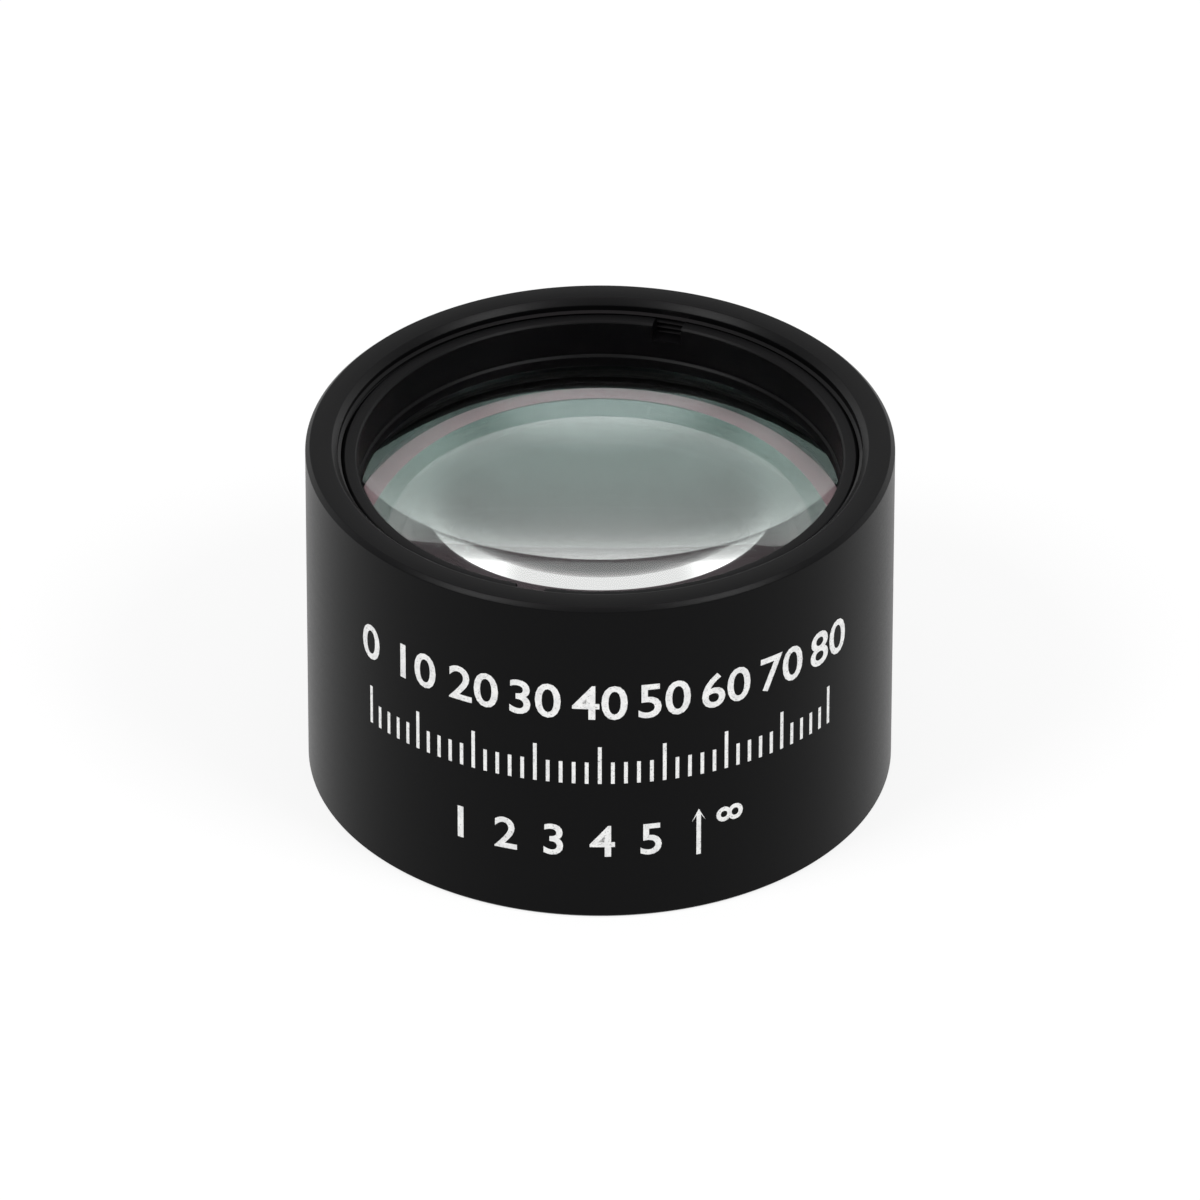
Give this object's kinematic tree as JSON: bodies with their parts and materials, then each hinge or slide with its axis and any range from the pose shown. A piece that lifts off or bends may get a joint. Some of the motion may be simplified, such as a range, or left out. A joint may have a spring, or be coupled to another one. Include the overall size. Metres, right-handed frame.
{
  "type": "mounted achromatic doublet lens",
  "caption": "Air-spaced achromatic doublet in a round black cell, held by a slotted retaining ring; focuses or collimates a beam with little colour error.",
  "frame": {"origin": "centre of the bottom face, the focus side", "axes": "+Z along the optical axis towards the infinity side; +X to the right as the marked side is seen"},
  "size_m": [0.0254, 0.0254, 0.016],
  "materials": {
    "cell_black": "satin black anodised",
    "ring_black": "matt black anodised",
    "crown_glass": "polished and coated",
    "flint_glass": "polished and coated"
  },
  "bodies": {
    "root": {"housing": "cell_black", "retaining_ring": "ring_black", "pressure_ring": "ring_black", "front_lens": "crown_glass", "spacer_ring": "ring_black", "rear_lens": "flint_glass"}
  },
  "joints": []
}
